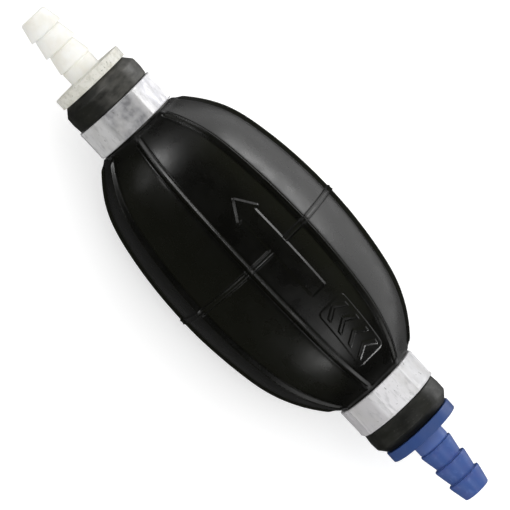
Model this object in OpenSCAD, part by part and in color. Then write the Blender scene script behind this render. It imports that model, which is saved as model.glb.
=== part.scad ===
// Squeeze-bulb hand pump: a ribbed rubber bulb with a crimped neck at each end.
// Each neck holds a barbed fitting, and each fitting holds a spring-loaded check valve.
// The bulb's axis is X and the liquid flows along +X, from the inlet to the outlet.
// The origin is the centre of the bulb, and +Z goes up through the raised flow arrow.

/* [Bulb] */
// Length of the bulb between its two bands
bulb_len = 88.8; // [84:0.4:94]
// Radius at the middle of a panel, on the equator
bulb_r = 24.15; // [23.5:0.05:25]
// Thickness of the rubber wall
wall = 2.6; // [2:0.1:3]
// Height of the long ribs above the panels' corners
rib_h = 0.8; // [0.5:0.1:1.2]
// Width of the long ribs
rib_w = 1.2; // [0.8:0.1:1.6]
// Height of the raised arrow
arrow_h = 0.5; // [0.4:0.05:0.7]
// Height of the ring round the equator
ring_h = 0.35; // [0.2:0.05:0.35]

/* [Necks] */
// Radius of the neck under its band
neck_r = 10.9; // [10.6:0.1:11.1]
// Radius of the lip at the end of the neck
lip_r = 11.5; // [11.3:0.1:12]
// Length of the lip
lip_len = 7.35; // [6.4:0.05:9]
// Width of a crimped band
band_w = 9; // [8:0.5:10]
// Radius over the ridges of a crimped band
band_r = 12; // [11.9:0.05:12.2]

/* [Fittings] */
// Radius of the flange
flange_r = 10.5; // [10:0.1:11]
// Thickness of the flange
flange_len = 3.05; // [2.5:0.05:3.5]
// Radius over the barbs, for a hose of 8 mm bore
barb_r = 4.9; // [4.6:0.05:5]
// Radius at the foot of each barb
barb_root_r = 4.1; // [3.9:0.05:4.3]
// Radius of the hose tail's bore
hose_bore_r = 2.7; // [2.5:0.05:2.8]
// Length of the hose tail
tail_len = 20.1; // [18:0.1:24]

/* [Valves] */
// Lift of a poppet from its seat
valve_lift = 2.2; // [1.5:0.1:2.2]
// Radius of the wire of a valve spring
wire_r = 0.2; // [0.15:0.01:0.25]

/* [Hidden] */
$fn = 96;

// Colours
rubber = [0.045, 0.045, 0.045];
bright_metal = [0.80, 0.80, 0.82];
white_plastic = [0.90, 0.89, 0.85];
blue_plastic = [0.22, 0.30, 0.58];
natural_acetal = [0.85, 0.83, 0.76];
dark_nitrile = [0.10, 0.10, 0.10];
spring_steel = [0.62, 0.63, 0.65];

// Gap between pieces that are pressed together
press_gap = 0.02;
// Gap round each gripped wall
wall_gap = 0.2;

// Further out than anything on the pump, for the shapes that cut
far = 40;

// Places along the axis, on the outlet's side
band_in = bulb_len / 2;
band_out = band_in + band_w;
lip_end = band_out + lip_len;
flange_out = lip_end + flange_len;

// The bulb has eight panels, and a rib runs along each corner between two of them.
panels = 8;
half_panel = 180 / panels;
// Each panel is turned about an axis this far behind the bulb's own, so it is flatter than a circle.
panel_shift = 22;
// The outline is a long arc over the middle and a tighter, tangent arc over each shoulder.
long_arc_r = 130;
shoulder_x = 24;
shoulder_arc_r = 40;
shoulder_slope = asin(shoulder_x / long_arc_r);
shoulder_drop = long_arc_r * (1 - cos(shoulder_slope));
shoulder_centre_x = shoulder_x - shoulder_arc_r * sin(shoulder_slope);

// Where each panel's wedge starts, and how far it reaches past its corner
wedge_from = 5;
corner_overlap = 0.3;
// How far each panel is made past the end of the bulb before it is trimmed
trim = 1;
// Width of the ring round the equator
ring_w = 1.7;
// How far before the band the ribs end
rib_end_gap = 1.2;

// Flow arrow: its tip, the back of its head and its tail along the axis, and its half widths
arrow_tip = 16.6;
arrow_head = 10.8;
arrow_tail = -15.5;
arrow_head_half_w = 3.8;
arrow_shaft_half_w = 2.45;
// Plate behind the arrow, and the chevrons on it
plate_h = 0.2;
plate_from = -37.6;
plate_to = -19.6;
plate_half_w = 4.4;
chevron_h = 0.4;
chevrons = 4;
chevron_from = -36.2;
chevron_pitch = 4.2;
chevron_half_w = 3.2;
chevron_stroke = 1.3;
chevron_rake = 2;

// Radius of a panel's corner where its middle is at radius r
function corner_r(r) = sqrt(
    pow(panel_shift * cos(half_panel), 2) + r * r + 2 * r * panel_shift
) - panel_shift * cos(half_panel);

// Where the neck starts inside the bulb, and the radius its section starts at
neck_root = band_in - 4;
neck_core_r = 6;
// Gap between the band and the lip, chamfers at the lip's two ends, and the step round its rim
band_gap = 0.1;
lip_step = 0.3;
lip_rise = 0.6;
lip_chamfer_len = 1.9;
lip_chamfer = 1.3;
// Depth of the flats that the crimping jaws leave
crimp_depth = 0.45;

// Spigot and valve seat inside each neck
spigot_r = 8;
spigot_ridge_r = 8.35;
spigot_in = band_in - 2.4;
spigot_ridges = [2, 5, 8];
ridge_ramp = 1;
ridge_land = 0.4;
ridge_foot = 0.6;
valve_bore_r = 5.75;
valve_bore_end = flange_out - 5.3;
cartridge_len = 15.5;

// Barbs along the hose tail
plain_len = 4;
plain_r = 4.5;
barb_count = 3;
barb_pitch = (tail_len - plain_len) / barb_count;
barb_land = 0.6;
tip_r = 3.9;
tip_round = 0.6;

// The check valve, measured downstream from its own upstream face
seat_r = 2.8;
seat_face = 3;
seat_depth = 0.8;
chamber_r = 4.7;
cage_at = 13.7;
cage_r = 4.95;
poppet_head_at = 3.84;
poppet_head_end = 5.4;
poppet_head_r = 3.9;
poppet_neck_r = 2.35;
nose_from = 1.2;
nose_tip_r = 1.6;
nose_full = 2.1;
nose_to = 2.64;
nose_r = 2.7;
head_chamfer = 0.3;
stem_r = 1;
stem_chamfer = 0.4;
stem_clearance = 0.05;
stem_end = 14.5;
guide_r = 1.65;
guide_at = poppet_head_end + valve_lift + 0.1;
cage_hub_r = 2.6;
cage_ring_in_r = 4;
cage_spokes = 3;
spoke_w = 1.2;
spoke_in = 0.5;
spoke_out = 0.3;
poppet_seal_r = 0.6;
poppet_seal_at = 3.24;
poppet_seal_mean_r = 2.95;
oring_r = 0.5;
oring_at = 1.5;
oring_groove_w = 1.3;
oring_groove_r = 4.75;
spring_mean_r = 2.15;
spring_turns = 6;
closed_turns = 1;
spring_end_gap = 0.05;
wire_sides = 6;
rings_a_turn = 14;

// Gripped walls
grip_half_len = 30;
grip_half_w = 7;

// Turns a shape whose axis is Z so that its axis is X.
module along_x() {
    rotate([0, 90, 0]) children();
}

// Puts a shape made for the outlet's side on the inlet's side.
module inlet_side() {
    mirror([1, 0, 0]) children();
}

// One arc of the outline, cut to its own stretch of the axis, grown outwards by grow
module outline_arc(arc_r, centre_r, centre_x, from_x, to_x, grow) {
    intersection() {
        translate([centre_r, centre_x]) circle(arc_r + grow, $fn = 256);
        translate([0, from_x]) square([100, to_x - from_x]);
    }
}

// Half section of the bulb: radius across, axis up. The foot of the section is offset outwards by out,
// and its surface grows by grow along its own normal.
module outline(top_r, out = 0, grow = 0, half_len = bulb_len / 2) {
    outline_arc(long_arc_r, top_r - long_arc_r + out, 0, -shoulder_x, shoulder_x, grow);
    for (side = [0, 1]) mirror([0, side])
        outline_arc(
            shoulder_arc_r,
            top_r - shoulder_drop - shoulder_arc_r * cos(shoulder_slope) + out,
            shoulder_centre_x, shoulder_x, half_len, grow
        );
}

// Everything behind one panel's surface. The panel faces +X, and raise is added to its radius.
module behind_panel(raise = 0, with_ring = true) {
    translate([-panel_shift, 0, 0]) rotate([0, 0, 180]) rotate_extrude($fn = 256) {
        outline(bulb_r, out = panel_shift + raise, half_len = band_in + trim);
        if (with_ring)
            translate([0, -ring_w / 2]) square([panel_shift + bulb_r + ring_h, ring_w]);
    }
}

// Half width of a panel's wedge at distance x from the axis. Neighbours overlap a little under each rib.
function wedge_half_w(x) = x * tan(half_panel) + corner_overlap;

// One panel, from near the axis out to its surface
module panel() {
    intersection() {
        behind_panel();
        linear_extrude(height = bulb_len + 4 * trim, center = true)
            polygon([
                [wedge_from, -wedge_half_w(wedge_from)], [far, -wedge_half_w(far)],
                [far, wedge_half_w(far)], [wedge_from, wedge_half_w(wedge_from)]
            ]);
    }
}

// The bulb's body without its ribs, with each end trimmed by one plane
module panelled_body() {
    intersection() {
        union() {
            for (i = [0 : panels - 1]) rotate([0, 0, i * 2 * half_panel]) panel();
        }
        cylinder(r = far, h = bulb_len, center = true);
    }
}

// The long ribs, two at a time as one plate that goes right through
module ribs() {
    rib_top = corner_r(bulb_r) + rib_h;
    for (i = [0 : panels / 2 - 1])
        rotate([0, 0, half_panel + i * 2 * half_panel])
            for (side = [0, 1]) mirror([side, 0, 0])
                rotate([90, 0, 0])
                    linear_extrude(height = rib_w, center = true)
                        difference() {
                            outline(rib_top, half_len = band_in - rib_end_gap);
                            translate([-1, -50]) square([6, 100]);
                        }
}

// The neck and its lip, on the +Z side
module neck() {
    rotate_extrude()
        polygon([
            [neck_core_r, neck_root], [neck_r, neck_root],
            [neck_r, band_out + band_gap], [lip_r, band_out + band_gap + lip_rise],
            [lip_r, lip_end - lip_step - lip_chamfer_len],
            [lip_r - lip_chamfer, lip_end - lip_step],
            [lip_r - lip_chamfer, lip_end - press_gap], [neck_core_r, lip_end - press_gap]
        ]);
}

// The space inside the bulb and its necks
module cavity() {
    rotate_extrude($fn = 256)
        outline(bulb_r, grow = -wall, half_len = band_in + 0.5);
    for (side = [0, 1]) mirror([0, 0, side])
        rotate_extrude() spigot_section(press_gap, band_in - 1);
}

// Half section of a spigot from start to the flange, with grow added to its radius
module spigot_section(grow, start) {
    translate([0, start]) square([spigot_r + grow, lip_end - start]);
    for (ridge = spigot_ridges)
        translate([0, band_in + ridge])
            polygon([
                [0, -ridge_ramp], [spigot_r + grow, -ridge_ramp],
                [spigot_ridge_r + grow, 0], [spigot_ridge_r + grow, ridge_land],
                [spigot_r + grow, ridge_foot], [0, ridge_foot]
            ]);
}

// Flow arrow, seen from above
module arrow_shape() {
    polygon([
        [arrow_tip, 0], [arrow_head, arrow_head_half_w],
        [arrow_head, arrow_shaft_half_w], [arrow_tail, arrow_shaft_half_w],
        [arrow_tail, -arrow_shaft_half_w], [arrow_head, -arrow_shaft_half_w],
        [arrow_head, -arrow_head_half_w]
    ]);
}

// Plain raised plate behind the arrow
module plate_shape() {
    translate([plate_from, -plate_half_w]) square([plate_to - plate_from, 2 * plate_half_w]);
}

// Chevrons on the plate, pointing downstream
module chevron_shapes() {
    for (i = [0 : chevrons - 1])
        translate([chevron_from + i * chevron_pitch, 0])
            polygon([
                [0, chevron_half_w], [chevron_stroke, chevron_half_w],
                [chevron_rake + chevron_stroke, 0],
                [chevron_stroke, -chevron_half_w], [0, -chevron_half_w], [chevron_rake, 0]
            ]);
}

// A flat shape raised on the top panel
module raised_on_top(height) {
    intersection() {
        translate([0, 0, 8]) linear_extrude(height = 30) children();
        along_x() rotate([0, 0, 180]) behind_panel(height, false);
    }
}

// Everything raised on the top panel
module relief() {
    raised_on_top(arrow_h) arrow_shape();
    raised_on_top(plate_h) plate_shape();
    raised_on_top(chevron_h) chevron_shapes();
}

// The whole moulding as one piece, before the gripped walls are parted from it
module moulding() {
    difference() {
        union() {
            along_x() {
                panelled_body();
                ribs();
                for (side = [0, 1]) mirror([0, 0, side]) neck();
            }
            relief();
        }
        along_x() cavity();
    }
}

// Outline of a gripped wall, seen from above
module grip_shape(grow = 0) {
    square([2 * (grip_half_len - grip_half_w), 2 * (grip_half_w + grow)], center = true);
    for (side = [-1, 1])
        translate([side * (grip_half_len - grip_half_w), 0]) circle(grip_half_w + grow);
}

module bulb_shell() {
    color(rubber) difference() {
        moulding();
        translate([0, 0, -far]) linear_extrude(height = 2 * far) grip_shape(wall_gap);
    }
}

// The stretch of the top panel under the thumb
module bulb_thumb_wall() {
    color(rubber) intersection() {
        difference() {
            union() {
                along_x() rotate([0, 0, 180]) behind_panel();
                relief();
            }
            along_x() cavity();
        }
        linear_extrude(height = far) grip_shape();
    }
}

// The stretch of the bottom panel under the fingers
module bulb_finger_wall() {
    color(rubber) intersection() {
        difference() {
            along_x() behind_panel();
            along_x() cavity();
        }
        translate([0, 0, -far]) linear_extrude(height = far) grip_shape();
    }
}

// Crimped ring: a tube pressed flat in eight places, with a ridge left between each two
module crimp_band() {
    flat_r = band_r - crimp_depth;
    color(bright_metal) along_x() difference() {
        intersection() {
            translate([0, 0, band_in + band_gap / 2]) cylinder(r = band_r, h = band_w - band_gap);
            translate([0, 0, band_in]) rotate([0, 0, half_panel])
                cylinder(r = flat_r / cos(half_panel), h = band_w, $fn = 8);
        }
        translate([0, 0, band_in - 1]) cylinder(r = neck_r + press_gap, h = band_w + 2);
    }
}

// Half section of the hose tail's outside, from the flange outwards
module tail_section() {
    polygon(concat(
        [[0, flange_out - 1], [plain_r, flange_out - 1], [plain_r, flange_out + plain_len]],
        [for (i = [0 : barb_count - 1])
            let (
                start = flange_out + plain_len + i * barb_pitch,
                last = i == barb_count - 1
            )
            each [
                [barb_r, start], [barb_r, start + barb_land],
                last
                    ? [tip_r, start + barb_pitch - tip_round]
                    : [barb_root_r, start + barb_pitch]
            ]],
        [[tip_r - tip_round, flange_out + tail_len], [0, flange_out + tail_len]]
    ));
}

// Fitting with its hose tail outwards, its flange, and its spigot inside the neck
module fitting() {
    along_x() difference() {
        rotate_extrude() {
            tail_section();
            spigot_section(0, spigot_in);
            translate([0, lip_end]) square([flange_r, flange_len]);
        }
        translate([0, 0, spigot_in - 1]) cylinder(r = hose_bore_r, h = 60);
        translate([0, 0, spigot_in - 1]) cylinder(r = valve_bore_r, h = valve_bore_end - spigot_in + 1);
    }
}

// Puts a valve part, made with its flow along +Z from 0, in the inlet's fitting.
module in_inlet() {
    translate([-valve_bore_end, 0, 0]) along_x() children();
}

// Puts the same part in the outlet's fitting.
module in_outlet() {
    translate([valve_bore_end - cartridge_len, 0, 0]) along_x() children();
}

// Tube with the valve seat at its upstream end
module valve_body() {
    color(natural_acetal) difference() {
        cylinder(r = valve_bore_r - press_gap, h = cartridge_len);
        rotate_extrude()
            polygon([
                [0, -1], [seat_r, -1], [seat_r, seat_face - seat_depth],
                [seat_r + seat_depth, seat_face], [chamber_r, seat_face],
                [chamber_r, cage_at], [cage_r, cage_at],
                [cage_r, cartridge_len + 1], [0, cartridge_len + 1]
            ]);
        rotate_extrude()
            translate([oring_groove_r, oring_at - oring_groove_w / 2]) square([2, oring_groove_w]);
    }
}

module valve_oring() {
    color(dark_nitrile) translate([0, 0, oring_at])
        rotate_extrude() translate([oring_groove_r + oring_r, 0]) circle(oring_r - press_gap);
}

// Poppet with its nose, its groove for the seal, its head and its guide stem
module poppet() {
    color(natural_acetal) rotate_extrude()
        polygon([
            [0, nose_from], [nose_tip_r, nose_from], [nose_r, nose_full], [nose_r, nose_to],
            [poppet_neck_r, nose_to], [poppet_neck_r, poppet_head_at],
            [poppet_head_r - head_chamfer, poppet_head_at],
            [poppet_head_r, poppet_head_at + head_chamfer],
            [poppet_head_r, poppet_head_end], [stem_r, poppet_head_end],
            [stem_r, stem_end - stem_chamfer], [stem_r - stem_chamfer, stem_end], [0, stem_end]
        ]);
}

module poppet_seal() {
    color(dark_nitrile) translate([0, 0, poppet_seal_at])
        rotate_extrude() translate([poppet_seal_mean_r, 0]) circle(poppet_seal_r - press_gap);
}

// Ring, three spokes and the guide tube that also stops the poppet
module valve_cage() {
    cage_len = cartridge_len - cage_at;
    spoke_len = cage_ring_in_r - cage_hub_r + spoke_in + spoke_out;
    color(natural_acetal) difference() {
        union() {
            translate([0, 0, cage_at]) difference() {
                cylinder(r = cage_r - press_gap, h = cage_len);
                translate([0, 0, -1]) cylinder(r = cage_ring_in_r, h = cage_len + 2);
            }
            translate([0, 0, cage_at]) cylinder(r = cage_hub_r, h = cage_len);
            translate([0, 0, guide_at]) cylinder(r = guide_r, h = cartridge_len - guide_at);
            for (i = [0 : cage_spokes - 1]) rotate([0, 0, 90 + i * 360 / cage_spokes])
                translate([cage_hub_r - spoke_in, -spoke_w / 2, cage_at])
                    cube([spoke_len, spoke_w, cage_len]);
        }
        translate([0, 0, guide_at - 1])
            cylinder(r = stem_r + stem_clearance, h = cartridge_len - guide_at + 2);
    }
}

// Height of the spring's centre line at a turn: its end turns are closed, and the others are open.
spring_from = poppet_head_end + spring_end_gap + wire_r;
spring_to = cage_at - spring_end_gap - wire_r;
function spring_height(turn) =
    turn < closed_turns ? spring_from + 2 * wire_r * turn
    : turn > spring_turns - closed_turns ? spring_to - 2 * wire_r * (spring_turns - turn)
    : spring_from + 2 * wire_r * closed_turns
        + (turn - closed_turns) / (spring_turns - 2 * closed_turns)
        * (spring_to - spring_from - 4 * wire_r * closed_turns);

// Coil spring, swept along its centre line
module valve_spring() {
    sides = wire_sides;
    rings = rings_a_turn * spring_turns;
    points = [
        for (i = [0 : rings], j = [0 : sides - 1])
            let (
                turn = i / rings_a_turn,
                reach = spring_mean_r + wire_r * cos(j * 360 / sides)
            )
            [
                reach * cos(turn * 360),
                reach * sin(turn * 360),
                spring_height(turn) + wire_r * sin(j * 360 / sides)
            ]
    ];
    sleeve = [
        for (i = [0 : rings - 1], j = [0 : sides - 1])
            let (
                a = i * sides + j,
                b = i * sides + (j + 1) % sides
            )
            each [[a, b, b + sides], [a, b + sides, a + sides]]
    ];
    near_end = [[for (j = [sides - 1 : -1 : 0]) j]];
    far_end = [[for (j = [0 : sides - 1]) rings * sides + j]];
    color(spring_steel) polyhedron(points, concat(sleeve, near_end, far_end));
}

bulb_shell();
bulb_thumb_wall();
bulb_finger_wall();
color(blue_plastic) inlet_side() fitting();  // inlet_fitting
color(white_plastic) fitting();  // outlet_fitting
inlet_side() crimp_band();  // inlet_crimp_band
crimp_band();  // outlet_crimp_band
in_inlet() valve_body();  // inlet_valve_body
in_inlet() valve_oring();  // inlet_valve_oring
in_inlet() poppet();  // inlet_poppet
in_inlet() poppet_seal();  // inlet_poppet_seal
in_inlet() valve_spring();  // inlet_valve_spring
in_inlet() valve_cage();  // inlet_valve_cage
in_outlet() valve_body();  // outlet_valve_body
in_outlet() valve_oring();  // outlet_valve_oring
in_outlet() poppet();  // outlet_poppet
in_outlet() poppet_seal();  // outlet_poppet_seal
in_outlet() valve_spring();  // outlet_valve_spring
in_outlet() valve_cage();  // outlet_valve_cage
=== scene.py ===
"""Looks of a squeeze-bulb hand pump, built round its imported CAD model.

The pump's axis is X and it pumps towards +X. The flow arrow is on top, on the +Z side.
Lengths are in metres, and an angle round the axis runs from +Z towards +Y.
"""

import math

import bmesh
import bpy
from mathutils import Matrix, Vector, noise


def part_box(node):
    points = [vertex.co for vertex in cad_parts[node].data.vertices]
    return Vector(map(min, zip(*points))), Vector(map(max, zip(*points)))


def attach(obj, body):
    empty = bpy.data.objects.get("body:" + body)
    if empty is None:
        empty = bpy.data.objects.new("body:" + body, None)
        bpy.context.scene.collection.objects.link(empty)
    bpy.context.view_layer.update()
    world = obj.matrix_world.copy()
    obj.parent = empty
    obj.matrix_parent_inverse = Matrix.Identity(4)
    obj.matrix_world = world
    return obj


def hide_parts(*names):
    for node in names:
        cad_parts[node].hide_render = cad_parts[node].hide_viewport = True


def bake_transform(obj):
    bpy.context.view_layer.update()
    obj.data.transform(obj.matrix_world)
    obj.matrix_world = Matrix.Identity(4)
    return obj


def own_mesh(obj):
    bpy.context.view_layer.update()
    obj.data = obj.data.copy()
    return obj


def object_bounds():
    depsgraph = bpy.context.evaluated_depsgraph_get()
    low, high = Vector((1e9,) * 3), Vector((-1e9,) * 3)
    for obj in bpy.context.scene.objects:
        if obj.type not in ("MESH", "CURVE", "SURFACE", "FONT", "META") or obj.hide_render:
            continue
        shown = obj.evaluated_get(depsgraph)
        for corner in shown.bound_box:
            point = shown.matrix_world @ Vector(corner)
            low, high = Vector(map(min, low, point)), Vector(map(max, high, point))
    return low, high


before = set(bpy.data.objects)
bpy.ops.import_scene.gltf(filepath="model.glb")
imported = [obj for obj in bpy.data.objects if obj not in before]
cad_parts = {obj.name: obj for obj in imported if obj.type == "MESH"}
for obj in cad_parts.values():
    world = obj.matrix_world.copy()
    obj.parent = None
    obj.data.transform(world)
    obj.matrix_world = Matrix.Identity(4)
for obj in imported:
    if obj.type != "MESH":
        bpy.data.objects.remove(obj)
cad_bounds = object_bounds()

MM = 0.001

# ---------------------------------------------------------------- places that come from the frame

# Places along the axis are the outlet's, and the inlet's are their mirror image.
BAND_SLACK = 0.05 * MM
BAND_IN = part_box("outlet_crimp_band")[0].x - BAND_SLACK
BAND_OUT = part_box("outlet_crimp_band")[1].x + BAND_SLACK
NECK_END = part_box("bulb_shell")[1].x
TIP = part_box("outlet_fitting")[1].x
FLANGE_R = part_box("outlet_fitting")[1].y
# Height of the equator's ring, taken on the fingers' side, where no arrow crosses it
TOP = -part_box("bulb_finger_wall")[0].z

# ---------------------------------------------------------------- sizes

# The bulb: the height of its ring, its radius at the middle of a panel, and its wall
RING_H = 0.35 * MM
BULB_R = TOP - RING_H
WALL = 2.6 * MM
PANELS = 8
SECTOR = 2 * math.pi / PANELS
# Each panel is an arc about an axis this far past the bulb's own, on the side away from the panel.
PANEL_SHIFT = 22 * MM
# The outline is a long arc over the middle and a tangent, tighter arc over each shoulder.
LONG_ARC_R = 130 * MM
SHOULDER_X = 24 * MM
SHOULDER_ARC_R = 40 * MM
# The outlet's shoulder is this much fuller than the inlet's, up to this far under the band.
SHOULDER_FULLNESS = 0.3 * MM
FULLNESS_RUNOUT = 2 * MM

# A rib: half its crest's width, the width of each side's slope, how much its crown falls and over what width,
# and the groove along its foot
RIB_H = 0.85 * MM
RIB_CREST = 0.12 * MM
RIB_SLOPE = 0.72 * MM
RIB_CROWN_DROP = 0.12
RIB_CROWN_W = 0.35 * MM
RIB_GROOVE = 0.14 * MM
RIB_GROOVE_AT = 1 * MM
RIB_GROOVE_W = 0.17 * MM
# A rib dies away over this length, and ends this far before the band.
RIB_FADE = 1.2 * MM
RIB_STOP = 0.5 * MM

# The ring's cross-section: shares of its height in the middle and at its two lips, and places from its middle
RING_MIDDLE = 0.68
RING_LIP = 0.5
RING_LIP_X = 0.56 * MM
RING_LIP_W = 0.17 * MM
RING_FLAT = 0.62 * MM
RING_SLOPE = 0.42 * MM

# The thin rim that stands beside each band
RIM_H = 0.1 * MM
RIM_BACK = 0.65 * MM
RIM_W = 0.45 * MM

# Depth and size of the long waves and the ripples in moulded rubber
WAVE_DEPTH = 0.045 * MM
WAVE_SIZE = 12 * MM
RIPPLE_DEPTH = 0.012 * MM
RIPPLE_SIZE = 3.5 * MM

# Fittings. The three ridges on a spigot grip the neck.
FLANGE_LEN = 3.05 * MM
FLANGE_OUT = NECK_END + FLANGE_LEN
TAIL_LEN = TIP - FLANGE_OUT
PLAIN_LEN = 4 * MM
PLAIN_R = 4.6 * MM
BARB_R = 4.9 * MM
BARB_ROOT_R = 4.1 * MM
BARB_COUNT = 3
BARB_LAND = 0.6 * MM
TIP_R = 3.85 * MM
HOSE_BORE_R = 2.7 * MM
VALVE_BORE_R = 5.75 * MM
VALVE_BORE_END = FLANGE_OUT - 5.3 * MM
SPIGOT_R = 8 * MM
SPIGOT_IN = BAND_IN - 2.4 * MM
SPIGOT_RIDGES = (2 * MM, 5 * MM, 8 * MM)
SPIGOT_RIDGE_H = 0.33 * MM
# The fine line that the mould's joint leaves along each side
FLASH_H = 0.05 * MM
FLASH_W = 0.16 * MM

# Necks and bands. The two bands are crimped unevenly, and squeeze their lips out unevenly.
NECK_R = 10.9 * MM
NECK_IN = BAND_IN - 1 * MM
OUTLET_BAND_R = 12.45 * MM
INLET_BAND_R = 12.1 * MM
OUTLET_LIP_R = 11.35 * MM
INLET_LIP_R = 11.65 * MM
# Gap between a neck and the metal or plastic that it is pressed against
FIT_GAP = 0.02 * MM
# Gap between the end of the bulb and the edge of a band, and the width of a band's turned-up edge
BAND_GAP = 0.5 * MM
BAND_EDGE_W = 1.3 * MM
# The crimping jaws leave a ridge between neighbouring flats, which stands on a slightly larger circle.
RIDGE_OUT = 0.1 * MM
RIDGE_H = 0.15 * MM
RIDGE_W = 0.24 * MM
RIDGE_SOFTNESS = 0.04 * MM


# ---------------------------------------------------------------- mesh helpers

def closed_object(name, mesh, smooth_angle):
    """An object of a closed mesh, smooth but for edges sharper than smooth_angle degrees."""
    obj = bpy.data.objects.new(name, mesh)
    bpy.context.scene.collection.objects.link(obj)
    mesh.polygons.foreach_set("use_smooth", [True] * len(mesh.polygons))
    mesh.set_sharp_from_angle(angle=math.radians(smooth_angle))
    bm = bmesh.new()
    bm.from_mesh(mesh)
    bmesh.ops.recalc_face_normals(bm, faces=bm.faces)
    bm.to_mesh(mesh)
    bm.free()
    return obj


def mesh_from(name, verts, faces):
    """A mesh made of these points and faces."""
    mesh = bpy.data.meshes.new(name)
    mesh.from_pydata(verts, [], faces)
    mesh.validate()
    mesh.update()
    return mesh


def wobble(x, y, z, size, seed=0.0):
    """Smooth noise from -1 to 1 with bumps of about the given size."""
    return noise.noise(Vector((x / size + seed, y / size, z / size)))


def bell(offset, width):
    """1 where offset is 0, falling smoothly on both sides to nearly 0 at twice the width."""
    return math.exp(-((offset / width) ** 2))


def smooth_step(t):
    """0 below 0, 1 above 1, and a smooth rise between."""
    t = min(max(t, 0.0), 1.0)
    return t * t * (3 - 2 * t)


def revolve(name, profile, segments, shape, smooth_angle=35):
    """A closed outline of (x, r) points turned about X. shape(x, r, angle) gives each point's radius."""
    verts = []
    for x, r in profile:
        for j in range(segments):
            angle = 2 * math.pi * j / segments
            radius = shape(x, r, angle)
            verts.append((x, radius * math.sin(angle), radius * math.cos(angle)))
    faces = []
    rows = len(profile)
    for i in range(rows):
        for j in range(segments):
            a, b = i * segments + j, i * segments + (j + 1) % segments
            c, d = (i + 1) % rows * segments + (j + 1) % segments, (i + 1) % rows * segments + j
            faces.append((a, b, c, d))
    return closed_object(name, mesh_from(name, verts, faces), smooth_angle)


# ---------------------------------------------------------------- the bulb's surface

def panel_radius(x):
    """Radius at the middle of a panel at x."""
    slope = math.asin(SHOULDER_X / LONG_ARC_R)
    if abs(x) <= SHOULDER_X:
        return BULB_R - LONG_ARC_R + math.sqrt(LONG_ARC_R ** 2 - x * x)
    drop = LONG_ARC_R * (1 - math.cos(slope))
    centre_x = SHOULDER_X - SHOULDER_ARC_R * math.sin(slope)
    centre_r = BULB_R - drop - SHOULDER_ARC_R * math.cos(slope)
    return centre_r + math.sqrt(SHOULDER_ARC_R ** 2 - (abs(x) - centre_x) ** 2)


def fullness(x):
    """Extra radius over the outlet's shoulder, which isn't quite the inlet's mirror image."""
    along = (x - SHOULDER_X) / (BAND_IN + FULLNESS_RUNOUT - SHOULDER_X)
    return SHOULDER_FULLNESS * math.sin(math.pi * min(max(along, 0), 1)) ** 2


def bare_radius(x, turn):
    """Radius of the panelled body at x, at an angle from the middle of its panel."""
    r = panel_radius(x) + fullness(x) + PANEL_SHIFT
    side = PANEL_SHIFT * math.sin(turn)
    return -PANEL_SHIFT * math.cos(turn) + math.sqrt(r * r - side * side)


def rib_height(across):
    """Height of a rib at a distance across it: a rounded crown, sloping sides and a groove at its foot."""
    d = abs(across)
    crown = 1 - RIB_CROWN_DROP * min(d / RIB_CROWN_W, 1.0) ** 2
    groove = RIB_GROOVE * bell(d - RIB_GROOVE_AT, RIB_GROOVE_W)
    return RIB_H * crown * (1 - smooth_step((d - RIB_CREST) / RIB_SLOPE)) - groove


def ring_height(x):
    """Height of the ring round the equator, which has a rounded lip along each edge."""
    d = abs(x)
    lip = RING_LIP * bell(d - RING_LIP_X, RING_LIP_W)
    return RING_H * (RING_MIDDLE + lip) * (1 - smooth_step((d - RING_FLAT) / RING_SLOPE))


def rib_ends(x):
    """1 along the rib, falling to 0 where it dies away before the band."""
    return smooth_step((BAND_IN - RIB_STOP - abs(x)) / RIB_FADE)


def end_rim(x):
    """Height of the thin rim beside the band."""
    return RIM_H * bell(BAND_IN - RIM_BACK - abs(x), RIM_W)


def skin_waves(x, y, z):
    """The slight unevenness of moulded rubber."""
    return WAVE_DEPTH * wobble(x, y, z, WAVE_SIZE) + RIPPLE_DEPTH * wobble(x, y, z, RIPPLE_SIZE, seed=7.0)


def bulb_point(x, angle, ribs=True, depth=0.0):
    """A point on the bulb at x and an angle. The inside is this surface without ribs, at a depth."""
    turn = (angle + SECTOR / 2) % SECTOR - SECTOR / 2
    r = bare_radius(x, turn)
    if ribs:
        across = (SECTOR / 2 - abs(turn)) * r
        raised = rib_height(across) * rib_ends(x) + end_rim(x) + ring_height(x)
        r += raised + skin_waves(x, r * math.sin(angle), r * math.cos(angle))
    r -= depth
    return (x, r * math.sin(angle), r * math.cos(angle))


# The bulb's mesh lines, as distances from the middle of a rib and from the middle of the ring
RIB_LINES = [s * MM for s in (0, 0.14, 0.26, 0.37, 0.48, 0.59, 0.7, 0.82, 0.92, 1.0, 1.08, 1.2, 1.4)]
RING_LINES = [s * MM for s in (0, 0.2, 0.34, 0.44, 0.52, 0.6, 0.68, 0.76, 0.84, 0.92, 1.0, 1.1, 1.4, 1.8)]
# How many steps the mesh takes across a panel, along each half of the bulb, and beside each band
PANEL_STEPS = 18
BODY_STEPS = 52
BAND_STEPS = 20
BAND_STEPS_FROM = BAND_IN - 4 * MM
# The skins part this far from the middle of a rib.
CREASE = RIB_LINES[-1]


def mirrored(half):
    """The distances on both sides of 0. They start at 0 and rise."""
    return [-d for d in half[:0:-1]] + half


def spaced(start, end, count):
    """Evenly spaced places after start, up to and including end."""
    return [start + (end - start) * i / count for i in range(1, count + 1)]


def lines_along():
    """Places along the axis where the bulb's mesh has a line."""
    half = RING_LINES + spaced(RING_LINES[-1], BAND_STEPS_FROM, BODY_STEPS)
    return mirrored(half + spaced(BAND_STEPS_FROM, BAND_IN, BAND_STEPS))


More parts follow.
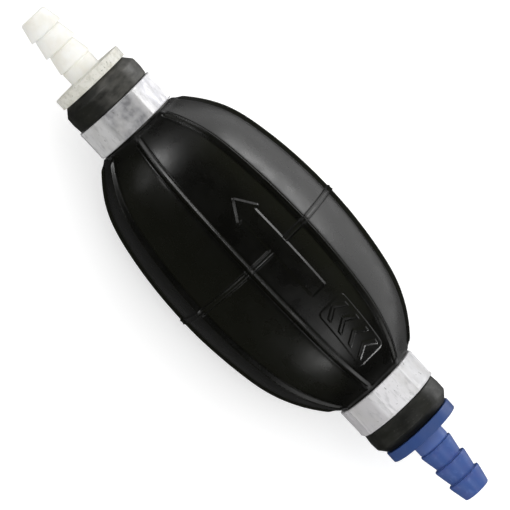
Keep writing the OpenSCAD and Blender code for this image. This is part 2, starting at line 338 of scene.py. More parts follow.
def lines_round(x, first_rib, last_rib, open_ends):
    """Angles at x of the mesh's lines, from one rib to another.

    open_ends adds the panel beyond each of the two, up to the foot of the next rib.
    """
    r = bare_radius(x, SECTOR / 2)
    groups = []
    for k in range(first_rib, last_rib + 1):
        middle = (k + 0.5) * SECTOR
        groups.append([middle + s / r for s in mirrored(RIB_LINES)])
    if open_ends:
        groups.insert(0, [(first_rib - 0.5) * SECTOR + CREASE / r])
        groups.append([(last_rib + 1.5) * SECTOR - CREASE / r])
    angles = list(groups[0])
    for group in groups[1:]:
        angles += spaced(angles[-1], group[0], PANEL_STEPS)[:-1] + group
    return angles


def bulb_skin(name, first_rib, last_rib, open_ends):
    """A closed stretch of the bulb's wall, parted from its neighbour along the foot of a rib."""
    rows = lines_along()
    outer, inner = [], []
    for x in rows:
        angles = lines_round(x, first_rib, last_rib, open_ends)
        outer += [bulb_point(x, a) for a in angles]
        inner += [bulb_point(x, a, ribs=False, depth=WALL) for a in angles]
    cols = len(angles)
    shift = len(outer)
    faces = []
    for i in range(len(rows) - 1):
        for j in range(cols - 1):
            a = i * cols + j
            faces.append((a, a + 1, a + cols + 1, a + cols))
            faces.append((shift + a, shift + a + cols, shift + a + cols + 1, shift + a + 1))
        for j in (0, cols - 1):
            a = i * cols + j
            faces.append((a, a + cols, shift + a + cols, shift + a))
    for i in (0, len(rows) - 1):
        for j in range(cols - 1):
            a = i * cols + j
            faces.append((a, a + 1, shift + a + 1, shift + a))
    return closed_object(name, mesh_from(name, outer + inner, faces), smooth_angle=50)


def top_z(x, y):
    """Height of the top panel's surface."""
    r = panel_radius(x) + fullness(x) + PANEL_SHIFT
    z = math.sqrt(r * r - y * y) - PANEL_SHIFT
    return z + skin_waves(x, y, z)


def rounded(corners, steps=4):
    """A closed outline of corners (x, y, radius), each rounded over at most 0.45 of a side."""
    points = []
    count = len(corners)
    for i, (x, y, radius) in enumerate(corners):
        here = Vector((x, y))
        if radius <= 0:
            points.append(here)
            continue
        to_last = Vector(corners[i - 1][:2]) - here
        to_next = Vector(corners[(i + 1) % count][:2]) - here
        half = to_last.angle(to_next) / 2
        reach = min(radius / math.tan(half), 0.45 * to_last.length, 0.45 * to_next.length)
        start = here + to_last.normalized() * reach
        end = here + to_next.normalized() * reach
        for k in range(steps + 1):
            t = k / steps
            points.append(start * (1 - t) ** 2 + here * 2 * t * (1 - t) + end * t * t)
    return [(p.x, p.y) for p in points]


def grown(outline, by):
    """The outline moved outwards by a small distance. It runs anticlockwise.

    The point of a sharp corner moves further than its sides do, and share limits how much further.
    """
    moved = []
    count = len(outline)
    for i in range(count):
        last, here, after = (Vector(outline[(i + k) % count]) for k in (-1, 0, 1))
        first = (here - last).normalized()
        second = (after - here).normalized()
        normal = Vector((first.y + second.y, -first.x - second.x))
        normal.normalize()
        share = max(normal.x * first.y - normal.y * first.x, 0.35)
        moved.append(tuple(here + normal * (by / share)))
    return moved


# Relief reaches this far into the panel below it, and is cut into cells of this size to follow the panel.
RELIEF_ROOT = 0.3 * MM
RELIEF_CELL = 0.8 * MM


def relief(name, outlines, base, height):
    """Closed shapes raised on the top panel, with sloping sides and rounded edges.

    base is how high above the panel they start. Halfway up its side, a shape is as wide as its outline.
    """
    slope = 0.55 * height
    levels = [
        (base - RELIEF_ROOT, slope + 0.1 * MM),
        (base, slope + 0.06 * MM),
        (base + 0.06 * height, slope),
        (base + 0.86 * height, -slope),
        (base + 0.96 * height, -slope - 0.09 * MM),
        (base + height, -slope - 0.18 * MM),
    ]
    bm = bmesh.new()
    for outline in outlines:
        loops = [[bm.verts.new((x, y, h)) for x, y in grown(outline, by)] for h, by in levels]
        count = len(outline)
        for low, high in zip(loops, loops[1:]):
            for i in range(count):
                j = (i + 1) % count
                bm.faces.new((low[i], low[j], high[j], high[i]))
        caps = [bm.faces.new(loops[-1]), bm.faces.new(loops[0][::-1])]
        bmesh.ops.triangulate(bm, faces=caps)
    xs = [v.co.x for v in bm.verts]
    ys = [v.co.y for v in bm.verts]
    for axis, low, high in ((0, min(xs), max(xs)), (1, min(ys), max(ys))):
        cuts = int((high - low) / RELIEF_CELL)
        for k in range(1, cuts + 1):
            place = Vector((0, 0, 0))
            normal = Vector((0, 0, 0))
            place[axis] = low + (high - low) * (k - 0.5) / cuts
            normal[axis] = 1
            geometry = bm.verts[:] + bm.edges[:] + bm.faces[:]
            bmesh.ops.bisect_plane(bm, geom=geometry, dist=1e-7, plane_co=place, plane_no=normal)
    for v in bm.verts:
        v.co.z += top_z(v.co.x, v.co.y)
    mesh = bpy.data.meshes.new(name)
    bm.to_mesh(mesh)
    bm.free()
    return closed_object(name, mesh, smooth_angle=50)


def scaled(points):
    """Points given in millimetres, in metres."""
    return [tuple(v * MM for v in p) for p in points]


# Corners and their radii. The arrow and the plate are where they lie, and a chevron starts at x = 0.
ARROW = scaled([
    (16.5, 0, 0.35), (10.8, 3.75, 0.3), (10.8, 2.4, 0.25), (-15.4, 2.4, 0.35),
    (-15.4, -2.4, 0.35), (10.8, -2.4, 0.25), (10.8, -3.75, 0.3),
])
PLATE = scaled([
    (-19.7, -4.3, 1.5), (-19.7, 4.3, 1.5), (-37.5, 4.3, 1.5), (-37.5, -4.3, 1.5),
])
CHEVRON = scaled([
    (0, 3.2, 0.2), (2, 0, 0.2), (0, -3.2, 0.2), (1.3, -3.2, 0.2), (3.3, 0, 0.35), (1.3, 3.2, 0.2),
])
ARROW_H = 0.5 * MM
PLATE_H = 0.22 * MM
CHEVRON_H = 0.28 * MM
CHEVRONS = 4
CHEVRON_FROM = -36.2 * MM
CHEVRON_PITCH = 4.2 * MM


def chevrons():
    """The outlines of the chevrons on the plate, which point downstream."""
    starts = [CHEVRON_FROM + CHEVRON_PITCH * i for i in range(CHEVRONS)]
    return [rounded([(x + start, y, r) for x, y, r in CHEVRON]) for start in starts]


# ---------------------------------------------------------------- necks, bands and fittings

def neck(name, side, lip_r, seed):
    """The rubber neck under a band, and its lip beyond it. side is 1 at the outlet and -1 at the inlet."""
    bore_r = SPIGOT_R + FIT_GAP
    corners = [
        (NECK_IN, NECK_R, 0),
        (BAND_OUT + BAND_SLACK, NECK_R, 0.1 * MM),
        (BAND_OUT + 0.25 * MM, lip_r - 0.1 * MM, 0.3 * MM),
        (BAND_OUT + 2.6 * MM, lip_r + 0.12 * MM, 1.5 * MM),
        (NECK_END - 2.3 * MM, lip_r + 0.05 * MM, 0.8 * MM),
        (NECK_END - 0.1 * MM, lip_r - 1.75 * MM, 0.3 * MM),
        (NECK_END, SPIGOT_R + 0.6 * MM, 0.1 * MM),
        (NECK_END, bore_r, 0),
        (NECK_IN, bore_r, 0),
    ]
    profile = refined([(side * x, r) for x, r in rounded(corners, 6)], 0.6 * MM)

    def lumpy(x, r, angle):
        """Only the lip beyond the band is uneven."""
        if abs(x) < BAND_OUT + 0.3 * MM or r < SPIGOT_R + 1 * MM:
            return r
        y, z = r * math.sin(angle), r * math.cos(angle)
        lumps = 0.14 * MM * wobble(x, y, z, 7 * MM, seed)
        return r + lumps + 0.03 * MM * wobble(x, y, z, 2 * MM, seed)

    return revolve(name, profile, 180, lumpy)


def refined(points, longest):
    """The closed outline with extra points, so that no stretch is longer than longest."""
    result = []
    for i, (x, y) in enumerate(points):
        x2, y2 = points[(i + 1) % len(points)]
        count = max(1, math.ceil(math.hypot(x2 - x, y2 - y) / longest))
        result += [(x + (x2 - x) * k / count, y + (y2 - y) * k / count) for k in range(count)]
    return result


# Angles in degrees of the ridges that the crimping jaws left
OUTLET_RIDGES = [-12, 33, 79, 124, 168, 212, 257, 303]
INLET_RIDGES = [24, 69, 114, 160, 205, 249, 294, 340]


def crimped_radius(angle, ridges, band_r, crown):
    """Radius at an angle of a band whose flats lie between the given ridges.

    A flat bulges by the share crown of the way from a chord to the full circle.
    """
    ridge_r = band_r + RIDGE_OUT
    degrees = math.degrees(angle) % 360
    places = sorted(a % 360 for a in ridges)
    places = [places[-1] - 360] + places + [places[0] + 360]
    for low, high in zip(places, places[1:]):
        if low <= degrees <= high:
            half = math.radians(high - low) / 2
            off = math.radians(degrees - (low + high) / 2)
            flat = ridge_r * math.cos(half) / math.cos(off)
            flat += crown * (ridge_r - flat) * math.cos(off / half * math.pi / 2)
            soft = RIDGE_SOFTNESS
            lower_of_both = -soft * math.log(math.exp(-flat / soft) + math.exp(-band_r / soft))
            return RIDGE_H * bell((abs(off) - half) * band_r, RIDGE_W) + lower_of_both
    return band_r


def band(name, side, band_r, ridges, crown, seed):
    """A crimped aluminium ring with turned-up edges."""
    inner = NECK_R + FIT_GAP
    low, high = BAND_IN + BAND_GAP, BAND_OUT - BAND_SLACK
    corners = [
        (low, inner, 0),
        (low, band_r + 0.1 * MM, 0.6 * MM),
        (low + BAND_EDGE_W, band_r, 0.5 * MM),
        (high - BAND_EDGE_W, band_r, 0.5 * MM),
        (high, band_r + 0.2 * MM, 0.6 * MM),
        (high, inner, 0),
    ]
    profile = refined([(side * x, r) for x, r in rounded(corners, 5)], 0.7 * MM)

    def crimped(x, r, angle):
        """The bore stays round. Outwards of it, flats and dents grow in proportion."""
        share = (r - inner) / (band_r - inner)
        if share < 0.001:
            return r
        y, z = band_r * math.sin(angle), band_r * math.cos(angle)
        drop = band_r - crimped_radius(angle, ridges, band_r, crown)
        dents = 0.05 * MM * wobble(x, y, z, 4 * MM, seed) + 0.015 * MM * wobble(x, y, z, 1.2 * MM, seed)
        return r - drop * share + (dents - 0.03 * MM) * share

    return revolve(name, profile, 256, crimped, smooth_angle=50)


def fitting(name, side, seed):
    """A moulded fitting: barbed hose tail, flange, and a spigot with three ridges inside the neck."""
    pitch = (TAIL_LEN - PLAIN_LEN) / BARB_COUNT
    corners = [(SPIGOT_IN, VALVE_BORE_R, 0.2 * MM), (SPIGOT_IN, SPIGOT_R, 0.3 * MM)]
    for ridge in SPIGOT_RIDGES:
        x = BAND_IN + ridge
        ridge_r = SPIGOT_R + SPIGOT_RIDGE_H
        corners += [
            (x - 1 * MM, SPIGOT_R, 0), (x, ridge_r, 0.1 * MM),
            (x + 0.4 * MM, ridge_r, 0.1 * MM), (x + 0.6 * MM, SPIGOT_R, 0),
        ]
    corners += [
        (NECK_END, SPIGOT_R, 0), (NECK_END, FLANGE_R, 0.25 * MM),
        (FLANGE_OUT, FLANGE_R, 0.35 * MM), (FLANGE_OUT, PLAIN_R, 0.5 * MM),
    ]
    foot = PLAIN_R
    for i in range(BARB_COUNT):
        x = FLANGE_OUT + PLAIN_LEN + i * pitch
        corners += [
            (x - 0.55 * MM, foot, 0.3 * MM), (x - 0.1 * MM, foot - 0.25 * MM, 0.12 * MM),
            (x + 0.02 * MM, BARB_R, 0.12 * MM), (x + BARB_LAND, BARB_R, 0.25 * MM),
        ]
        foot = BARB_ROOT_R
    corners += [
        (TIP, TIP_R, 0.65 * MM), (TIP, HOSE_BORE_R, 0.3 * MM),
        (VALVE_BORE_END, HOSE_BORE_R, 0), (VALVE_BORE_END, VALVE_BORE_R, 0),
    ]
    profile = refined([(side * x, r) for x, r in rounded(corners, 5)], 0.7 * MM)

    def moulded(x, r, angle):
        """Only the outside beyond the neck is uneven."""
        if abs(x) < NECK_END + 0.1 * MM or r < HOSE_BORE_R + 0.4 * MM:
            return r
        y, z = r * math.sin(angle), r * math.cos(angle)
        flash = FLASH_H * bell(math.cos(angle) * r, FLASH_W)
        return r + flash + 0.03 * MM * wobble(x, y, z, 3 * MM, seed)

    return revolve(name, profile, 192, moulded)


# The valve springs: radius of the wire, turns in all and closed at each end, and the mesh's steps
WIRE_R = 0.2 * MM
TURNS = 6
CLOSED_TURNS = 1
STEPS_A_TURN = 48
WIRE_SIDES = 12


def spring(name, node):
    """A round-wire coil with closed ends, in the space of its CAD node."""
    low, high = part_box(node)
    mean_r = high.y - WIRE_R
    start, end = low.x + WIRE_R, high.x - WIRE_R
    closed_len = 2 * WIRE_R * CLOSED_TURNS
    open_len = end - start - 2 * closed_len
    verts = []
    rings = TURNS * STEPS_A_TURN
    for i in range(rings + 1):
        turn = i / STEPS_A_TURN
        if turn < CLOSED_TURNS:
            x = start + 2 * WIRE_R * turn
        elif turn > TURNS - CLOSED_TURNS:
            x = end - 2 * WIRE_R * (TURNS - turn)
        else:
            x = start + closed_len + (turn - CLOSED_TURNS) / (TURNS - 2 * CLOSED_TURNS) * open_len
        angle = 2 * math.pi * turn
        for j in range(WIRE_SIDES):
            around = 2 * math.pi * j / WIRE_SIDES
            r = mean_r + WIRE_R * math.cos(around)
            verts.append((x + WIRE_R * math.sin(around), r * math.sin(angle), r * math.cos(angle)))
    faces = []
    for i in range(rings):
        for j in range(WIRE_SIDES):
            a, b = i * WIRE_SIDES + j, i * WIRE_SIDES + (j + 1) % WIRE_SIDES
            faces.append((a, b, b + WIRE_SIDES, a + WIRE_SIDES))
    faces.append(tuple(range(WIRE_SIDES)))
    faces.append(tuple(rings * WIRE_SIDES + j for j in range(WIRE_SIDES)))
    return closed_object(name, mesh_from(name, verts, faces), smooth_angle=60)


# ---------------------------------------------------------------- materials

class Paint:
    """A node material with a Principled shader, and short ways to add noise to it."""

    def __init__(self, name, color, roughness, metallic=0.0):
        self.material = bpy.data.materials.new(name)
        self.material.use_nodes = True
        self.nodes = self.material.node_tree.nodes
        self.links = self.material.node_tree.links
        self.shader = self.nodes["Principled BSDF"]
        self.shader.inputs["Base Color"].default_value = (*color, 1)
        self.shader.inputs["Roughness"].default_value = roughness
        self.shader.inputs["Metallic"].default_value = metallic
        self.place = self.nodes.new("ShaderNodeTexCoord").outputs["Object"]
        self.normal = None

    def noise(self, size, detail=3.0, stretch=(1, 1, 1)):
        """Noise from 0 to 1 with bumps of about the given size.

        The bumps are longer along an axis whose stretch is above 1.
        """
        mapping = self.nodes.new("ShaderNodeMapping")
        mapping.inputs["Scale"].default_value = [1 / (size * s) for s in stretch]
        self.links.new(self.place, mapping.inputs["Vector"])
        texture = self.nodes.new("ShaderNodeTexNoise")
        texture.inputs["Scale"].default_value = 1.0
        texture.inputs["Detail"].default_value = detail
        self.links.new(mapping.outputs["Vector"], texture.inputs["Vector"])
        return texture.outputs["Fac"]

    def ramp(self, value, low, high, low_to=0.0, high_to=1.0):
        """value mapped from low..high to low_to..high_to, and held there."""
        node = self.nodes.new("ShaderNodeMapRange")
        node.inputs["From Min"].default_value = low
        node.inputs["From Max"].default_value = high
        node.inputs["To Min"].default_value = low_to
        node.inputs["To Max"].default_value = high_to
        self.links.new(value, node.inputs["Value"])
        return node.outputs["Result"]

    def along(self, start, end, soft, axis="X"):
        """1 where a coordinate lies between start and end, falling to 0 over soft beyond them."""
        split = self.nodes.new("ShaderNodeSeparateXYZ")
        self.links.new(self.place, split.inputs["Vector"])
        place = split.outputs[axis]
        return self.times(self.ramp(place, start - soft, start), self.ramp(place, end, end + soft, 1, 0))

    def outlet_end(self):
        """1 at the outlet's end and 0 at the inlet's."""
        return self.along(BAND_IN - 7 * MM, TIP, 1 * MM)

    def inlet_end(self):
        """1 at the inlet's end and 0 at the outlet's."""
        return self.along(-TIP, -BAND_IN + 7 * MM, 1 * MM)

    def times(self, first, second):
        """The product of two values."""
        node = self.nodes.new("ShaderNodeMath")
        node.operation = "MULTIPLY"
        self.links.new(first, node.inputs[0])
        self.links.new(second, node.inputs[1])
        return node.outputs["Value"]

    def vary_roughness(self, value, low, high):
        """Roughness from low to high over the middle of a noise's range."""
        self.links.new(self.ramp(value, 0.35, 0.65, low, high), self.shader.inputs["Roughness"])

    def tint(self, value, low, high, color):
        """Blends the colour made so far into another where value goes from low to high."""
        mix = self.nodes.new("ShaderNodeMix")
        mix.data_type = "RGBA"
        self.links.new(self.ramp(value, low, high), mix.inputs["Factor"])
        base = self.shader.inputs["Base Color"]
        if base.is_linked:
            self.links.new(base.links[0].from_socket, mix.inputs["A"])
        else:
            mix.inputs["A"].default_value = base.default_value
        mix.inputs["B"].default_value = (*color, 1)
        self.links.new(mix.outputs["Result"], base)

    def bump(self, value, depth, strength=1.0):
        """Raises the surface by depth metres where value is 1."""
        node = self.nodes.new("ShaderNodeBump")
        node.inputs["Strength"].default_value = strength
        node.inputs["Distance"].default_value = depth
        self.links.new(value, node.inputs["Height"])
        if self.normal is not None:
            self.links.new(self.normal, node.inputs["Normal"])
        self.normal = node.outputs["Normal"]
        self.links.new(self.normal, self.shader.inputs["Normal"])


def bulb_rubber():
    """Satin black rubber with a faint olive cast, mould texture, and a little bloom."""
    p = Paint("bulb_rubber", (0.0012, 0.0012, 0.0008), 0.28)
    p.shader.inputs["Specular IOR Level"].default_value = 0.42
    p.tint(p.noise(9 * MM, 4), 0.45, 0.75, (0.0020, 0.0021, 0.0014))
    p.tint(p.noise(1.1 * MM, 5), 0.62, 0.8, (0.0038, 0.0038, 0.0030))
    p.vary_roughness(p.noise(5 * MM, 5), 0.24, 0.33)
    p.bump(p.noise(2.4 * MM, 3), 0.03 * MM, 0.5)
    p.bump(p.noise(0.28 * MM, 3), 0.008 * MM, 0.5)
    return p.material


def neck_rubber():
    """The same rubber where it is handled and pinched: duller, rougher, and dusted at the outlet's side. The
    dusting thins out towards +Y, which paints shade on that side, and a painted shadow darkens the inlet
    lip's end beside the flange.
    """
    p = Paint("neck_rubber", (0.007, 0.0072, 0.0058), 0.46)
    p.tint(p.noise(2.2 * MM, 5, (1, 3, 3)), 0.45, 0.72, (0.017, 0.017, 0.0145))
    # The dusting thins out towards +Y, which paints shade on that side.
    painted_shade_and_dust_mask = p.times(p.outlet_end(), p.along(-20 * MM, 2 * MM, 8 * MM, "Y"))
    dust_and_painted_shade = p.times(p.noise(1.6 * MM, 6, (0.9, 2, 2)), painted_shade_and_dust_mask)
    p.tint(dust_and_painted_shade, 0.26, 0.80, (0.080, 0.077, 0.066))
    p.tint(p.noise(0.5 * MM, 4, (1, 2, 2)), 0.62, 0.78, (0.04, 0.04, 0.034))
    # Painted shadow: the inlet lip's end is darkened where it meets the flange.
    inlet_lip_painted_shadow = p.along(-NECK_END - 1 * MM, -NECK_END + 1.15 * MM, 0.7 * MM)
    p.tint(inlet_lip_painted_shadow, 0, 1, (0.0008, 0.0008, 0.0007))
    p.vary_roughness(p.noise(3 * MM, 4), 0.38, 0.56)
    p.bump(p.noise(1.3 * MM, 4, (0.7, 2, 2)), 0.12 * MM, 0.7)
    p.bump(p.noise(0.25 * MM, 2), 0.02 * MM, 0.6)
    return p.material


def crimp_aluminium():
    """Bare aluminium, dulled by oxide: drawn lengthwise, marked by rubbing from the jaws, and a little
    soiled.

    Some flats are painted lighter or darker by their place on Y: painted shade and painted reflection that
    give each flat the brightness the light gives it. The outlet's middle flat has painted shade mottled with
    rubbing.
    """
    p = Paint("crimp_aluminium", (0.71, 0.705, 0.715), 0.45, metallic=0.32)
    inlet = p.inlet_end()
    p.tint(inlet, 0, 1, (0.77, 0.762, 0.78))
    p.links.new(p.ramp(inlet, 0, 1, 0.34, 0.2), p.shader.inputs["Metallic"])
    # Painted shade and painted reflection: on the inlet band, the flats on the -Y and +Y sides are darkened
    # as the light falls on them.
    p.tint(p.times(inlet, p.along(-14 * MM, -5 * MM, 1.5 * MM, "Y")), 0, 1.25, (0.52, 0.52, 0.53))
    p.tint(p.times(inlet, p.along(7 * MM, 14 * MM, 1 * MM, "Y")), 0, 1.4, (0.50, 0.485, 0.50))
    outlet = p.outlet_end()
    # Painted shade and painted highlight: on the outlet band, a flat on the -Y side is darkened and the
    # farthest -Y flat is lightened, as the light falls on them.
    p.tint(p.times(outlet, p.along(-8 * MM, -6 * MM, 2.5 * MM, "Y")), 0, 1, (0.60, 0.60, 0.63))
    p.tint(p.times(outlet, p.along(-14 * MM, -11 * MM, 1 * MM, "Y")), 0, 1, (0.90, 0.90, 0.92))
    # Painted shade mottled with rubbing: the outlet band's middle flat is darkened, as a dark reflection
    # would darken it.
    rubbed_and_painted_shade = p.times(outlet, p.along(-0.8 * MM, 6.2 * MM, 2 * MM, "Y"))
    p.tint(p.times(rubbed_and_painted_shade, p.ramp(p.noise(2.6 * MM, 5), 0.35, 0.65, 0.5, 1)), 0, 1, (0.22, 0.22, 0.23))
    p.tint(p.noise(4.5 * MM, 3), 0.50, 0.85, (0.56, 0.55, 0.54))
    p.tint(p.noise(0.9 * MM, 6, (3, 1, 1)), 0.52, 0.85, (0.42, 0.42, 0.43))
    p.tint(p.noise(0.6 * MM, 5, (1.2, 1, 1)), 0.67, 0.74, (0.20, 0.195, 0.19))
    p.vary_roughness(p.noise(1.2 * MM, 5, (3, 1, 1)), 0.34, 0.58)
    p.bump(p.noise(0.35 * MM, 4, (12, 1, 1)), 0.03 * MM, 0.6)
    p.bump(p.noise(1.8 * MM, 4), 0.14 * MM, 0.6)
    return p.material


def white_plastic():
    """Warm white moulded plastic with handling marks, and a pitted, soiled flange."""
    p = Paint("white_plastic", (0.87, 0.865, 0.825), 0.42)
    p.shader.inputs["Subsurface Weight"].default_value = 0.3
    p.shader.inputs["Subsurface Radius"].default_value = (0.002, 0.0018, 0.0015)
    p.tint(p.noise(4 * MM, 4), 0.42, 0.72, (0.80, 0.78, 0.71))
    flange = p.along(NECK_END - 0.75 * MM, FLANGE_OUT + 0.1 * MM, 0.4 * MM)
    p.tint(flange, 0, 1, (0.69, 0.68, 0.62))
    p.tint(p.times(p.noise(1.5 * MM, 5), flange), 0.46, 0.74, (0.50, 0.49, 0.42))
    p.tint(p.times(p.noise(0.42 * MM, 5), flange), 0.61, 0.73, (0.20, 0.19, 0.15))
    p.tint(p.noise(0.5 * MM, 5), 0.69, 0.75, (0.45, 0.43, 0.37))
    p.vary_roughness(p.noise(2.5 * MM, 4), 0.34, 0.5)
    p.bump(p.noise(1.2 * MM, 4), 0.04 * MM, 0.5)
    p.bump(p.times(p.noise(0.5 * MM, 4), flange), 0.12 * MM, 0.7)
    p.bump(p.noise(0.2 * MM, 2), 0.006 * MM, 0.5)
    return p.material


def blue_plastic():
    """Blue moulded plastic, slightly mottled towards violet, with painted shade on the flange and painted
    light on the plain stretch beyond it.
    """
    p = Paint("blue_plastic", (0.043, 0.091, 0.285), 0.34)
    p.shader.inputs["Specular IOR Level"].default_value = 0.3
    p.shader.inputs["Subsurface Weight"].default_value = 0.05
    p.shader.inputs["Subsurface Radius"].default_value = (0.0006, 0.0007, 0.0014)
    p.tint(p.noise(3 * MM, 4), 0.45, 0.75, (0.062, 0.090, 0.28))
    p.tint(p.noise(1.4 * MM, 5), 0.55, 0.78, (0.080, 0.140, 0.36))
    # Painted shade: the flange is darkened, as where the lip beside it shades it.
    flange = p.along(-FLANGE_OUT - 0.2 * MM, -NECK_END + 0.75 * MM, 0.3 * MM)
    p.tint(flange, 0, 1, (0.030, 0.067, 0.212))
    # Painted light: the plain stretch beyond the flange is lightened, to undo the flange's shadow on it.
    shank_painted_light = p.along(-FLANGE_OUT - 3.4 * MM, -FLANGE_OUT - 0.6 * MM, 0.3 * MM)
    p.tint(shank_painted_light, 0, 1.2, (0.088, 0.150, 0.40))
    p.vary_roughness(p.noise(2 * MM, 4), 0.28, 0.46)
    p.bump(p.noise(1.2 * MM, 4), 0.05 * MM, 0.6)
    p.bump(p.noise(0.2 * MM, 2), 0.006 * MM, 0.5)
    return p.material


def acetal():
    """Natural acetal, milky and slightly waxy."""
    p = Paint("acetal", (0.80, 0.78, 0.70), 0.42)
    p.shader.inputs["Subsurface Weight"].default_value = 0.15
    p.shader.inputs["Subsurface Radius"].default_value = (0.0015, 0.0013, 0.001)
    p.tint(p.noise(1.5 * MM, 3), 0.4, 0.7, (0.74, 0.71, 0.62))
    p.vary_roughness(p.noise(1 * MM, 3), 0.36, 0.5)
    p.bump(p.noise(0.3 * MM, 3), 0.01 * MM, 0.5)
    return p.material


def nitrile():
    """Matte black seal rubber."""
    p = Paint("nitrile", (0.012, 0.012, 0.012), 0.5)
    p.tint(p.noise(0.6 * MM, 4), 0.5, 0.75, (0.026, 0.026, 0.026))
    p.vary_roughness(p.noise(0.8 * MM, 3), 0.42, 0.6)
    p.bump(p.noise(0.15 * MM, 3), 0.006 * MM, 0.5)
    return p.material


def spring_steel():
    """Drawn stainless wire."""
    p = Paint("spring_steel", (0.60, 0.61, 0.63), 0.28, metallic=1.0)
    p.tint(p.noise(0.4 * MM, 3), 0.5, 0.75, (0.48, 0.48, 0.50))
    p.vary_roughness(p.noise(0.5 * MM, 3), 0.22, 0.36)
    p.bump(p.noise(0.08 * MM, 2), 0.003 * MM, 0.5)
    return p.material


MATERIALS = {
    "bulb_rubber": bulb_rubber(),
    "neck_rubber": neck_rubber(),
    "crimp_aluminium": crimp_aluminium(),
    "white_plastic": white_plastic(),
    "blue_plastic": blue_plastic(),
    "acetal": acetal(),
    "nitrile": nitrile(),
    "spring_steel": spring_steel(),
}


def dress(obj, material):
    """Gives a new piece its material."""
    obj.data.materials.clear()
    obj.data.materials.append(MATERIALS[material])
    return obj


# ---------------------------------------------------------------- the pieces

def build_bulb():
    """Two skins that part along the foot of a rib, and the marks on the top panel, which it returns."""
    upper = dress(bulb_skin("bulb_upper_skin", -2, 1, False), "bulb_rubber")
    lower = dress(bulb_skin("bulb_lower_skin", 2, 5, True), "bulb_rubber")
    marks = [
        relief("flow_arrow", [rounded(ARROW)], 0, ARROW_H),
        relief("flow_plate", [rounded(PLATE, 6)], 0, PLATE_H),
        relief("flow_chevrons", chevrons(), PLATE_H, CHEVRON_H),
    ]
    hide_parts("bulb_shell", "bulb_thumb_wall")
    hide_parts("bulb_finger_wall")
    for piece in [upper, *marks]:
        dress(piece, "bulb_rubber")
        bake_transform(piece)
    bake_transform(lower)
    return marks


def build_ends():
    """The neck, band, hose fitting and coil at each end."""
    # Name, side, radii of the band and the lip, ridges of the band, crown of its flats, plastic and seed
    ends = (
        ("outlet", 1, OUTLET_BAND_R, OUTLET_LIP_R, OUTLET_RIDGES, 0.25, "white_plastic", 3.0),
        ("inlet", -1, INLET_BAND_R, INLET_LIP_R, INLET_RIDGES, 0.6, "blue_plastic", 11.0),
    )
    for end, side, band_r, lip_r, ridges, crown, plastic, seed in ends:
        rubber = dress(neck(end + "_neck", side, lip_r, seed), "neck_rubber")
        ring = dress(band(end + "_band", side, band_r, ridges, crown, seed), "crimp_aluminium")
        moulding = dress(fitting(end + "_hose_fitting", side, seed), plastic)
        coil = dress(spring(end + "_coil", end + "_valve_spring"), "spring_steel")
        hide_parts(end + "_crimp_band")
        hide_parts(end + "_fitting")
        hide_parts(end + "_valve_spring")
        for piece in (rubber, ring, moulding, coil):
            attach(piece, "root")
        squash_spring(coil)


def squash_spring(coil):
    """Gives the coil a mesh of its own."""
    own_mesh(coil)


def dress_cad_nodes():
    """Materials for the valve pieces, whose CAD shapes are kept."""
    for node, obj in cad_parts.items():
        if "poppet_seal" in node or "oring" in node:
            material = "nitrile"
        elif "poppet" in node or "valve_body" in node or "valve_cage" in node:
            material = "acetal"
        else:
            continue
        for material_slot in obj.material_slots:
            material_slot.material = MATERIALS[material]


# ---------------------------------------------------------------- camera, floor and light

# How the pump lies in the view: its axis's slope, its outlet's tilt towards the camera, and its roll
AXIS_SLOPE = math.radians(46.8)
OUTLET_TILT = math.radians(5.1)
ROLL = math.radians(13.4)
CAMERA_DISTANCE = 1.19
LENS = 327
# The point that the camera looks at, to the right of the origin and above it in the view
AIM_RIGHT = -0.28 * MM
AIM_UP = -0.05 * MM

# Strength of the floor's own glow, and of the two domes'
FLOOR_GLOW = 0.52
BACKDROP_GLOW = 1.1
FILL_GLOW = 0.6
SOFTBOX_DISTANCE = 1.6
OLIVE = (0.95, 1.0, 0.62)


def view_axes():
    """Right, up and towards-the-camera directions of the view, in the row frame."""
    x, y, z = Vector((1, 0, 0)), Vector((0, 1, 0)), Vector((0, 0, 1))
    out_of_page = math.cos(ROLL) * z + math.sin(ROLL) * y
    across = math.sin(ROLL) * z - math.cos(ROLL) * y
    along = math.cos(OUTLET_TILT) * x - math.sin(OUTLET_TILT) * out_of_page
    back = math.sin(OUTLET_TILT) * x + math.cos(OUTLET_TILT) * out_of_page
    up = math.sin(AXIS_SLOPE) * along + math.cos(AXIS_SLOPE) * across
    right = -math.cos(AXIS_SLOPE) * along + math.sin(AXIS_SLOPE) * across
    return right, up, back


def make_camera():
    """A long lens that sees the pump as it lies in the view."""
    right, up, back = view_axes()
    target = right * AIM_RIGHT + up * AIM_UP
    data = bpy.data.cameras.new("camera")
    data.lens = LENS
    data.clip_start, data.clip_end = 0.05, 20
    camera = bpy.data.objects.new("camera", data)
    turn = Matrix((right, up, back)).transposed().to_4x4()
    camera.matrix_world = Matrix.Translation(target + back * CAMERA_DISTANCE) @ turn
    bpy.context.scene.collection.objects.link(camera)
    bpy.context.scene.camera = camera


def stage_piece(name, bm, color, roughness, glow):
    """A piece of the surroundings, with a plain material that glows a little."""
    mesh = bpy.data.meshes.new(name)
    bm.to_mesh(mesh)
    bm.free()
    paint = Paint(name, color, roughness)
    paint.shader.inputs["Emission Color"].default_value = (1, 1, 1, 1)
    paint.shader.inputs["Emission Strength"].default_value = glow
    mesh.materials.append(paint.material)
    piece = bpy.data.objects.new(name, mesh)
    bpy.context.scene.collection.objects.link(piece)
    return piece


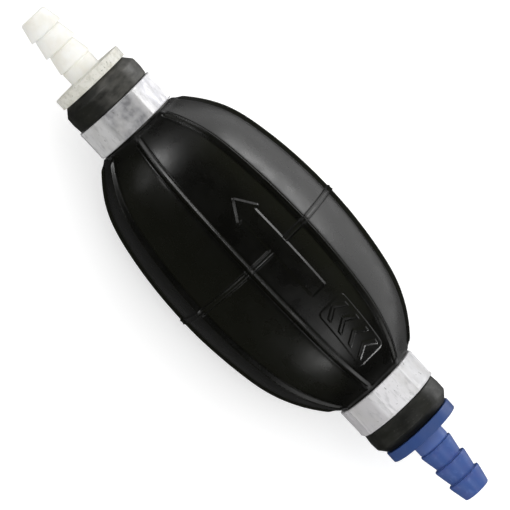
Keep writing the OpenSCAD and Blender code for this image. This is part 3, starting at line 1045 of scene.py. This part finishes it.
def make_floor():
    """A pale floor, which the pump's gloss doesn't mirror, as if it lay on a light table."""
    bm = bmesh.new()
    bmesh.ops.create_grid(bm, x_segments=1, y_segments=1, size=3.0)
    floor = stage_piece("floor", bm, (0.7, 0.7, 0.7), 0.8, FLOOR_GLOW)
    floor.location.z = cad_bounds[0].z - 0.05 * MM
    floor.visible_glossy = False
    floor.visible_shadow = False


def make_dome(name, radius, glow, seen_by):
    """A glowing dome that one kind of ray sees."""
    bm = bmesh.new()
    bmesh.ops.create_icosphere(bm, subdivisions=3, radius=radius)
    dome = stage_piece(name, bm, (0, 0, 0), 1.0, glow)
    for rays in ("camera", "diffuse", "glossy", "transmission", "volume_scatter", "shadow"):
        setattr(dome, "visible_" + rays, rays == seen_by)


def softbox(name, azimuth, elevation, width, height, radiance, color=(1, 1, 1), gloss=True, only=()):
    """A light that fills width by height degrees of the sky, seen in gloss only or in matt surfaces only.

    Azimuth is from +X towards +Y. If only lists pieces, the light falls on nothing else.
    """
    turn, rise = math.radians(azimuth), math.radians(elevation)
    level = math.cos(rise)
    place = SOFTBOX_DISTANCE * Vector((level * math.cos(turn), level * math.sin(turn), math.sin(rise)))
    data = bpy.data.lights.new(name, "AREA")
    data.shape = "RECTANGLE"
    data.size = 2 * SOFTBOX_DISTANCE * math.tan(math.radians(width / 2))
    data.size_y = 2 * SOFTBOX_DISTANCE * math.tan(math.radians(height / 2))
    data.energy = radiance * math.pi * data.size * data.size_y
    data.color = color
    light = bpy.data.objects.new(name, data)
    light.location = place
    light.rotation_mode = "QUATERNION"
    light.rotation_quaternion = (-place).to_track_quat("-Z", "Y")
    light.visible_glossy = gloss
    light.visible_diffuse = not gloss
    bpy.context.scene.collection.objects.link(light)
    if only:
        lit = bpy.data.collections.new(name + "_lit")
        for piece in only:
            lit.objects.link(piece)
        light.light_linking.receiver_collection = lit


def make_world():
    """A faint even light from all round."""
    world = bpy.data.worlds.new("studio")
    bpy.context.scene.world = world
    world.use_nodes = True
    background = world.node_tree.nodes["Background"]
    background.inputs["Color"].default_value = (1, 1, 1, 1)
    background.inputs["Strength"].default_value = 0.025


def make_light(marks):
    """The softboxes. Their numbers are azimuth, elevation, width and height in degrees, and radiance."""
    softbox("overhead", -80, 74, 64, 64, 1.7, gloss=False)
    # The panels on the -Y side, with a hot patch, and on the +Y side
    softbox("side_upper", -90, 4, 94, 28, 1.42)
    softbox("side_lower", -90, -21, 94, 22, 1.2)
    softbox("side_hot", -86, 5, 25, 13, 5.2)
    softbox("side_fill", -90, 54, 80, 24, 0.22, OLIVE)
    softbox("lower_fill", 90, 5, 120, 60, 0.09, OLIVE)
    # Soft spots on the shoulders
    softbox("outlet_wide", -20, 33, 44, 30, 0.35)
    softbox("outlet_spot", 2, 36, 16, 18, 7.5)
    softbox("inlet_spot", 176, 50, 26, 30, 1.8)
    softbox("lower_inlet_spot", 130, 15, 18, 11, 3.6)
    softbox("lower_outlet_spot", 45, 8, 16, 12, 1.2)
    # Glints along the edges of the flow marks
    softbox("outlet_low", -13, -10, 18, 14, 11.0, only=marks)
    softbox("outlet_corner", 48, 31, 12, 10, 4.0)
    softbox("inlet_low", -165, -15, 22, 14, 11.0, only=marks)
    # The rims, which mirror what lies below
    softbox("side_rim", -90, -47, 84, 26, 0.16)
    softbox("below", 110, -68, 60, 30, 0.03)
    softbox("low_inlet", -155, -20, 30, 20, 0.8)


make_camera()
flow_marks = build_bulb()
build_ends()
dress_cad_nodes()
make_floor()
make_dome("backdrop", 5.0, BACKDROP_GLOW, "camera")
make_dome("fill_dome", 4.8, FILL_GLOW, "diffuse")
make_world()
make_light(flow_marks)
bpy.context.scene.view_settings.view_transform = "Standard"
